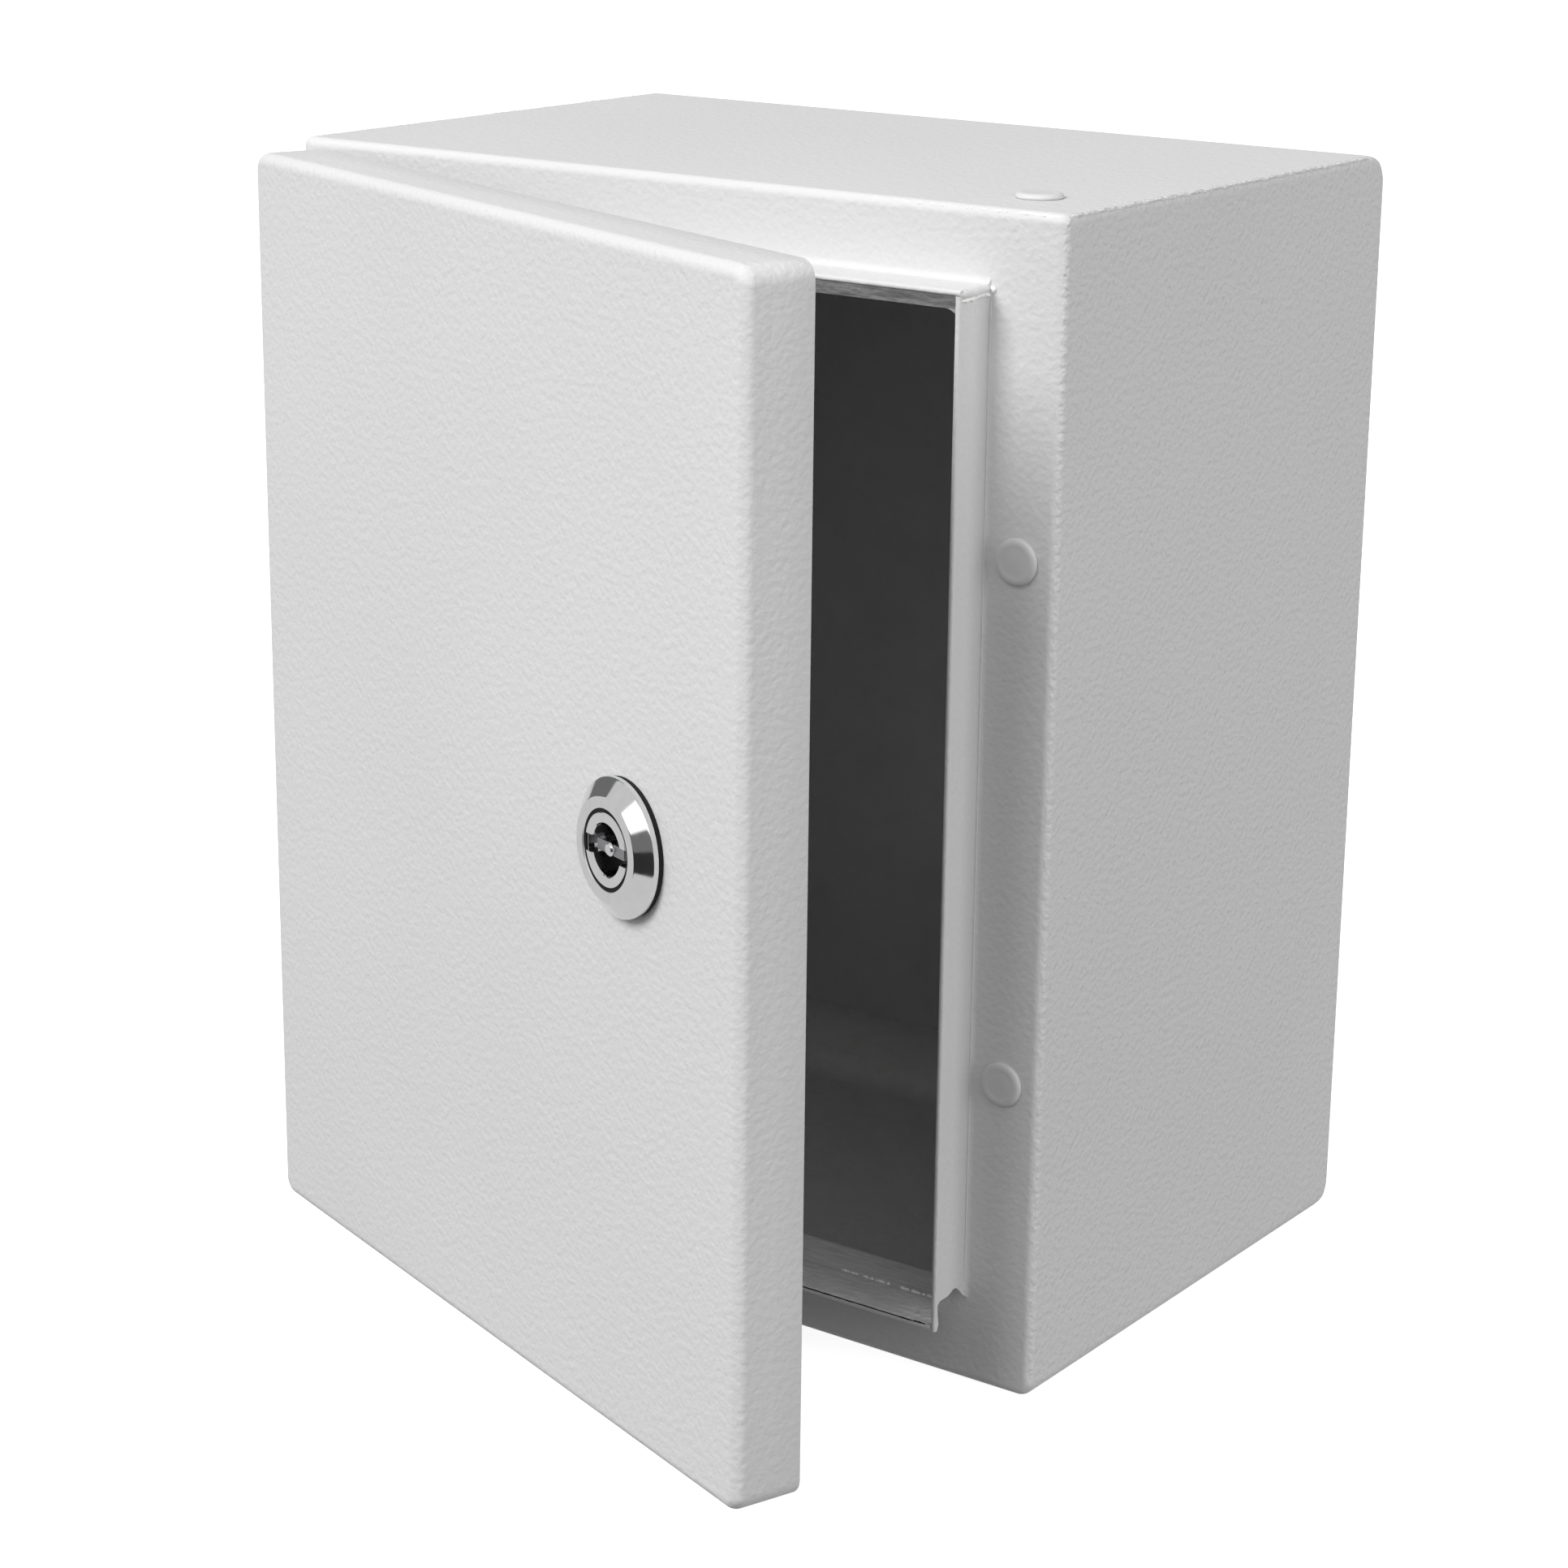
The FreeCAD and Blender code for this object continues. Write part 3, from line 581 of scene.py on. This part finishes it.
def put(name, shape, material, body, replaced=(), matrix=STILL, sharp=38.0):
    """Makes the mesh, in the row frame, and says what it is part of."""
    verts, faces = shape
    mesh = bpy.data.meshes.new(name)
    work = bmesh.new()
    made = [work.verts.new(matrix @ (Vector(v) * MM)) for v in verts]
    for face in faces:
        work.faces.new([made[k] for k in face])
    bmesh.ops.remove_doubles(work, verts=work.verts, dist=1e-7)
    bmesh.ops.recalc_face_normals(work, faces=work.faces)
    work.to_mesh(mesh)
    work.free()
    mesh.shade_smooth()
    mesh.set_sharp_from_angle(angle=math.radians(sharp))
    mesh.materials.append(material)
    piece = bpy.data.objects.new(name, mesh)
    scene.collection.objects.link(piece)
    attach(piece, body)
    if replaced:
        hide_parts(*replaced)
    return piece


# ---- Door ----


def door_ring(inset, y):
    """Points round the door pan, inset from its outer edge, starting at the lower right."""
    radius = DOOR_CORNER - inset
    x = DOOR_X - DOOR_CORNER
    z = DOOR_Z - DOOR_CORNER
    points = []
    corners = [(x, z, 0), (-x, z, 90), (-x, -z, 180), (x, -z, 270)]
    sides = [
        [(x + radius, stop) for stop in SIDE_STOPS],
        [(-stop, z + radius) for stop in END_STOPS],
        [(-x - radius, -stop) for stop in SIDE_STOPS],
        [(stop, -z - radius) for stop in END_STOPS],
    ]
    for (cx, cz, start), side in zip(corners, sides):
        points.extend(side)
        for k in range(9):
            a = math.radians(start + 90 * k / 8)
            points.append((cx + radius * math.cos(a), cz + radius * math.sin(a)))
    return [(px, y, pz) for px, pz in points]


def hole_ring(ring, y):
    """Points round the lock hole, each in line with one of the ring's."""
    points = []
    for x, _, z in ring:
        a = math.atan2(z - LOCK_Z, x - LOCK_X)
        points.append((LOCK_X + LOCK_HOLE * math.cos(a), y, LOCK_Z + LOCK_HOLE * math.sin(a)))
    return points


def door_pan():
    """The folded door with its rounded edges, lock hole and hinge slots."""
    outer = [(0.3, RIM_Y), (0.08, RIM_Y - 0.08), (0.0, RIM_Y - 0.3), (0.0, SLOT_Y)]
    outer += [(0.0, FACE_Y + DOOR_EDGE + 0.3), (0.0, FACE_Y + DOOR_EDGE)]
    for k in range(1, 10):
        a = math.radians(90 * k / 9)
        outer.append((DOOR_EDGE * (1 - math.cos(a)), FACE_Y + DOOR_EDGE * (1 - math.sin(a))))
    outer.append((DOOR_EDGE + 0.3, FACE_Y))
    inner = [(DOOR_EDGE + 0.3, LINING_Y)]
    bend = DOOR_EDGE - SHEET
    for k in range(9):
        a = math.radians(90 * (1 - k / 8))
        inner.append((DOOR_EDGE - bend * math.cos(a), FACE_Y + DOOR_EDGE - bend * math.sin(a)))
    inner += [(SHEET, FACE_Y + DOOR_EDGE + 0.3), (SHEET, SLOT_Y)]
    inner += [(SHEET, RIM_Y - 0.3), (SHEET - 0.08, RIM_Y - 0.08), (SHEET - 0.3, RIM_Y)]
    rings = [door_ring(inset, y) for inset, y in outer]
    rings.append(hole_ring(rings[-1], FACE_Y))
    back = [door_ring(inset, y) for inset, y in inner]
    rings.append(hole_ring(back[0], LINING_Y))
    rings += back
    verts, faces = skin(rings, True, True)
    count = len(rings[0])
    open_rings = {k for k, ring in enumerate(rings) if ring[0][1] >= SLOT_Y - 1e-6}
    kept = []
    for face in faces:
        middle = sum((Vector(verts[k]) for k in face), Vector()) / 4
        in_slot = middle.x < 2 - DOOR_X and SLOT_LOW < abs(middle.z) < SLOT_HIGH
        if in_slot and {k // count for k in face} <= open_rings:
            continue
        kept.append(face)
    return verts, kept + slot_walls(rings, verts, count, open_rings)


def slot_walls(rings, verts, count, open_rings):
    """The cut edges of the two hinge slots, across the thickness of the sheet."""
    walls = []
    order = sorted(k for k in open_rings if verts[k * count][1] > SLOT_Y + 1e-6)
    bottoms = sorted(open_rings - set(order))
    half = len(rings) // 2
    loop = [bottoms[1]] + [k for k in order if k > half] + [k for k in order if k <= half] + [bottoms[0]]
    hinge_side = [k for k in range(count) if rings[3][k][0] < 2 - DOOR_X]
    for stop in (-SLOT_HIGH, -SLOT_LOW, SLOT_LOW, SLOT_HIGH):
        column = next(k for k in hinge_side if abs(rings[3][k][2] - stop) < 1e-6)
        walls.append(tuple(ring * count + column for ring in loop))
    for low, high in ((-SLOT_HIGH, -SLOT_LOW), (SLOT_LOW, SLOT_HIGH)):
        columns = [k for k in hinge_side if low - 1e-6 <= rings[3][k][2] <= high + 1e-6]
        for a, b in zip(columns, columns[1:]):
            first, second = bottoms
            walls.append((first * count + a, first * count + b, second * count + b, second * count + a))
    return walls


def gasket_ring(inset, height):
    """Points round the gasket, inset from its outer edge and raised off the door's lining."""
    half_w = GASKET_X - inset
    half_h = GASKET_Z - inset
    radius = GASKET_CORNER - (GASKET_CORNER - GASKET_INNER_CORNER) * inset / GASKET_WIDTH
    points = []
    corners = [(1, 1, 0), (-1, 1, 90), (-1, -1, 180), (1, -1, 270)]
    for sx, sz, start in corners:
        for k in range(11):
            a = math.radians(start + 9 * k)
            x = sx * (half_w - radius) + radius * math.cos(a)
            z = sz * (half_h - radius) + radius * math.sin(a)
            points.append((x, LINING_Y + height, z))
    return points


def gasket():
    """Foamed ring with the dent that the collar has pressed into it."""
    section = [
        (0.3, 0.0), (0.0, 0.8), (0.05, 2.4), (0.7, 3.9), (2.0, 4.75), (3.6, 5.0),
        (4.7, 4.85), (5.4, 4.35), (6.0, 4.2), (6.6, 4.35), (7.3, 4.85),
        (8.4, 5.0), (10.0, 4.75), (11.3, 3.9), (11.95, 2.4), (12.0, 0.8), (11.7, 0.0),
    ]
    return skin([gasket_ring(inset, height) for inset, height in section], True, True)


# ---- Lock ----


def housing():
    """Lock housing with its flat ring, bevel and rim, down to the neck round the cam."""
    front = HOUSING_FRONT
    seat = SEAT_Y
    rear = HOUSING_REAR
    outline = [
        (7.65, front + 0.8), (8.2, front + 0.8), (8.3, front + 0.1), (8.5, front), (10.65, front),
        (10.85, front + 0.12), (13.8, seat - 1.35), (14.2, seat - 1.05), (14.2, seat), (10.0, seat),
        (10.0, rear), (5.05, rear), (5.05, rear - 4.5), (7.65, rear - 4.5),
    ]
    return lathe(rounded(outline, 0.12, 3), LOCK_X, LOCK_Z, FINE_TURN, True)


def seal():
    """Rubber ring between the housing's rim and the door."""
    outline = [(10.0, SEAT_Y), (13.75, SEAT_Y), (13.9, SEAT_Y + 0.5), (14.0, FACE_Y), (10.0, FACE_Y)]
    return lathe(rounded(outline, 0.15, 3), LOCK_X, LOCK_Z, FINE_TURN, True)


def groove_shade_ring():
    """Black ring in the groove between the housing and the barrel: painted shade of the groove."""
    low = HOUSING_FRONT + 0.79
    high = HOUSING_FRONT + 0.35
    outline = [(7.68, high), (8.24, high), (8.24, low), (7.68, low)]
    return lathe(rounded(outline, 0.08, 2), LOCK_X, LOCK_Z, FINE_TURN, True)


def key_face(side):
    """Half of the insert's front ring, on one side of the key slot."""
    front = BARREL_FRONT
    section = [
        (5.3, front + 3.0), (5.3, front + 0.4), (5.45, front + 0.12), (5.75, front), (7.25, front),
        (7.5, front + 0.1), (7.6, front + 0.35), (7.6, front + 3.0),
    ]
    last = 48
    rings = []
    for radius, y in section:
        start = math.asin(KEYWAY_HALF / radius)
        ring = []
        for k in range(last + 1):
            a = start + (math.pi - 2 * start) * k / last
            ring.append((LOCK_X + radius * math.cos(a), y, LOCK_Z + side * radius * math.sin(a)))
        rings.append(ring)
    verts, faces = skin(rings, False, True)
    faces.append(tuple((last + 1) * k for k in range(len(section))))
    faces.append(tuple((last + 1) * k + last for k in range(len(section))))
    return verts, faces


def insert():
    """Turning barrel with its two-part front ring, key well and square end for the cam."""
    front = BARREL_FRONT
    outline = [
        (0.0, front + KEYWAY_DEPTH), (5.3, front + KEYWAY_DEPTH), (5.3, front + 3.0), (7.6, front + 3.0),
        (7.6, BARREL_SHOULDER), (5.0, BARREL_SHOULDER), (5.0, CAM_SEAT), (0.0, CAM_SEAT),
    ]
    square = [(-3.5, -3.5), (3.5, -3.5), (3.5, 3.5), (-3.5, 3.5)]
    square = rounded([(LOCK_X + x, LOCK_Z + z) for x, z in square], 0.4, 3)
    return joined(
        key_face(1),
        key_face(-1),
        lathe(outline, LOCK_X, LOCK_Z),
        slab(square, CAM_SEAT, CAM_SEAT + 3.0, 0.1),
    )


def key_pin():
    """Pin in the middle of the double bit."""
    tip = BARREL_FRONT + 0.6
    foot = BARREL_FRONT + KEYWAY_DEPTH
    pin = [(0.0, tip), (1.05, tip), (1.5, BARREL_FRONT + 1.0), (1.5, foot), (0.0, foot)]
    return lathe(rounded(pin, 0.15, 3, False), LOCK_X, LOCK_Z, 64)


def key_wings():
    """The double bit that the key slides over."""
    wings = [(-5.1, -1.2), (5.1, -1.2), (5.1, 1.2), (-5.1, 1.2)]
    wings = rounded([(LOCK_X + x, LOCK_Z + z) for x, z in wings], 0.25, 3)
    return slab(wings, BARREL_FRONT + 1.3, BARREL_FRONT + KEYWAY_DEPTH, 0.15)


# ---- Body details ----


def plug_cap():
    """Pressed-in blanking plug as (radius, height above the sheet)."""
    return rounded(
        [
            (0.0, 1.12), (2.9, 1.08), (3.7, 1.2), (4.5, 1.0),
            (4.9, 0.5), (4.86, 0.12), (4.6, 0.0), (4.0, 0.0),
            (4.0, -1.3), (4.4, -1.5), (4.4, -2.2), (4.0, -2.5),
            (3.9, -5.0), (2.7, -5.0), (2.6, 0.1), (0.0, 0.1),
        ],
        0.35, 4, False,
    )


def flange_plug(z):
    return lathe([(r, FLANGE_Y - h) for r, h in plug_cap()], PLUG_X, z, SMALL_TURN)


def top_plug():
    x_middle, y_middle, top = TOP_PLUG
    verts, faces = lathe([(r, -h) for r, h in plug_cap()], x_middle, 0.0, SMALL_TURN)
    return [(x, y_middle + z, top - y) for x, y, z in verts], faces


def collar_corner(side):
    """Weld that closes the corner between the top collar and a side collar."""
    front = (side * (COLLAR_X - 0.86), COLLAR_Y + 0.5, COLLAR_TOP)
    back = (side * (COLLAR_X - 0.76), FLANGE_Y - 0.2, COLLAR_TOP + 0.1)
    path = line(front, back, 0.5)
    return bead(path, 1.05, 3.0 + side, 14, 0.18)


def collar_drops(side):
    """Ragged lower edge of that weld, and the drop where it ends on the flange."""
    front = (side * (COLLAR_X - 0.41), COLLAR_Y + 0.7, COLLAR_TOP - 1.1)
    back = (side * (COLLAR_X - 0.16), FLANGE_Y - 0.5, COLLAR_TOP - 0.8)
    path = line(front, back, 0.5)
    blob = nib((side * (COLLAR_X + 0.24), FLANGE_Y - 0.15, COLLAR_TOP + 0.1), 0.65, (1.2, 0.9, 1.2))
    return joined(bead(path, 0.48, 8.0 + side, 8, 0.9), blob)


def root_bead(side):
    """Paint that has gathered along a side collar's root."""
    x = side * COLLAR_X
    path = line((x, FLANGE_Y - 0.48, -101.5), (x, FLANGE_Y - 0.48, COLLAR_TOP - 1.6), 1.5)
    return bead(path, 0.26, 5.0 + side, 8, 0.2)


def seam_bead(side):
    """Weld along the edge between the top and a side panel."""
    x = side * SEAM_X
    path = line((x, FLANGE_Y + 2.4, SEAM_Z), (x, -7.0, SEAM_Z), 0.6)
    return bead(path, 0.5, 11.0 + side, 8, 0.5)


def top_bead():
    """Paint ridge along the top flange's bend, close to the right corner."""
    path = line((88.0, BEND_Y + 0.08, BEND_Z - 0.08), (98.2, BEND_Y + 0.08, BEND_Z - 0.08), 0.5)
    return bead(path, 0.36, 21.0, 8, 0.6)


def scattered(seed, count, low, high, size, squash):
    """Small lumps of paint spread at random between two places."""
    draw = random.Random(seed)
    lumps = []
    for _ in range(count):
        t = draw.random()
        place = Vector(low).lerp(Vector(high), t)
        own_size = size * draw.uniform(0.5, 1.2)
        own_squash = (squash[0] * draw.uniform(0.7, 1.9), *squash[1:])
        lumps.append(nib(place, own_size, own_squash))
    return joined(*lumps)


def make_pieces(skin_paint):
    """Builds every piece, with its body, slot and the nodes it stands for."""
    chrome = simple("lock_chrome", (0.86, 0.86, 0.87), 0.08, 1.0, 400.0, 0.02)
    cast = simple("lock_cast", (0.36, 0.36, 0.37), 0.3, 1.0, 500.0, 0.1)
    plug = simple("plug_cap", (0.66, 0.665, 0.66), 0.36)
    # Near-white paint for lumps and ridges on the cabinet: painted highlight where light catches them.
    drops_and_highlight = simple("paint_drops_and_painted_highlight", (0.95, 0.95, 0.94), 0.25)
    # Near-white specks on the sill: painted highlight standing in for glints.
    glint_white = simple("painted_glint_white", (0.97, 0.97, 0.97), 0.3)
    # Black seal material for the lock's seals; also used as painted shade in the lock's groove and along the
    # sill's front edge.
    black_rubber_and_shade = simple("seal_rubber", (0.006, 0.006, 0.006), 0.75)
    foam = simple("gasket_foam", (0.02, 0.02, 0.02), 0.85)
    put("door_skin", door_pan(), skin_paint, "door", ["door_panel"], SWING)
    put("door_seal", gasket(), foam, "door", ["door_gasket"], SWING)
    put("lock_rim", housing(), chrome, "door", ["lock_housing"], SWING)
    put("lock_rim_seal", seal(), black_rubber_and_shade, "door", ["lock_seal"], SWING)
    # A black ring set in the lock's groove: painted shade.
    put("lock_groove_shade", groove_shade_ring(), black_rubber_and_shade, "door", [], SWING)
    put("lock_barrel", insert(), chrome, "lock", ["lock_insert"], SWING, 25.0)
    put("lock_key_bit", key_wings(), cast, "lock", ["lock_bit"], SWING, 25.0)
    put("lock_key_pin", key_pin(), chrome, "lock", [], SWING, 25.0)
    put("plug_upper", flange_plug(PLUG_Z), plug, "cabinet", ["flange_plug_upper"])
    put("plug_lower", flange_plug(-PLUG_Z), plug, "cabinet", ["flange_plug_lower"])
    put("plug_top", top_plug(), plug, "cabinet", ["top_plug"])
    for name, side in (("right", 1), ("left", -1)):
        put(f"collar_weld_{name}", collar_corner(side), skin_paint, "cabinet")
        # The weld's ragged lower edge and its end lump are near-white: painted highlight.
        put(f"collar_drops_{name}", collar_drops(side), drops_and_highlight, "cabinet")
        put(f"root_bead_{name}", root_bead(side), skin_paint, "cabinet")
        put(f"seam_bead_{name}", seam_bead(side), skin_paint, "cabinet")
    # The lumps and ridge along the top bend are near-white: painted highlight.
    edge = scattered(4, 34, (52, BEND_Y, BEND_Z), (98, BEND_Y, BEND_Z), 0.38, (1.0, 0.8, 0.8))
    put("edge_nibs", joined(edge, top_bead()), drops_and_highlight, "cabinet")
    # The lumps on the sill are near-white: painted glints.
    sill = scattered(7, 46, (50, -131.3, SILL_Z), (80, -131.3, SILL_Z), 0.3, (1.2, 0.8, 1.5))
    put("sill_nibs", sill, glint_white, "cabinet")
    # Black lumps and a black line along the sill's front edge: painted shade under that edge.
    gap_shade = scattered(9, 5, (75.5, -143.25, SILL_Z - 0.1), (80.5, -143.25, SILL_Z - 0.1), 0.42, (1.6, 0.6, 0.5))
    edge_shade_line = bead(line((-78, -143.32, SILL_Z - 0.2), (79, -143.32, SILL_Z - 0.2), 1.5), 0.14, 2.0, 6, 0.5)
    put("sill_gap_shade", joined(gap_shade, edge_shade_line), black_rubber_and_shade, "cabinet")


make_camera()
make_world()
make_floor()
area_light("key", KEY_PLACE, KEY_SIZE, KEY_POWER)
area_light("side", SIDE_PLACE, SIDE_SIZE, SIDE_POWER)
coat = structured_paint()
dress(coat)
make_pieces(coat)
scene.view_settings.view_transform = "Standard"
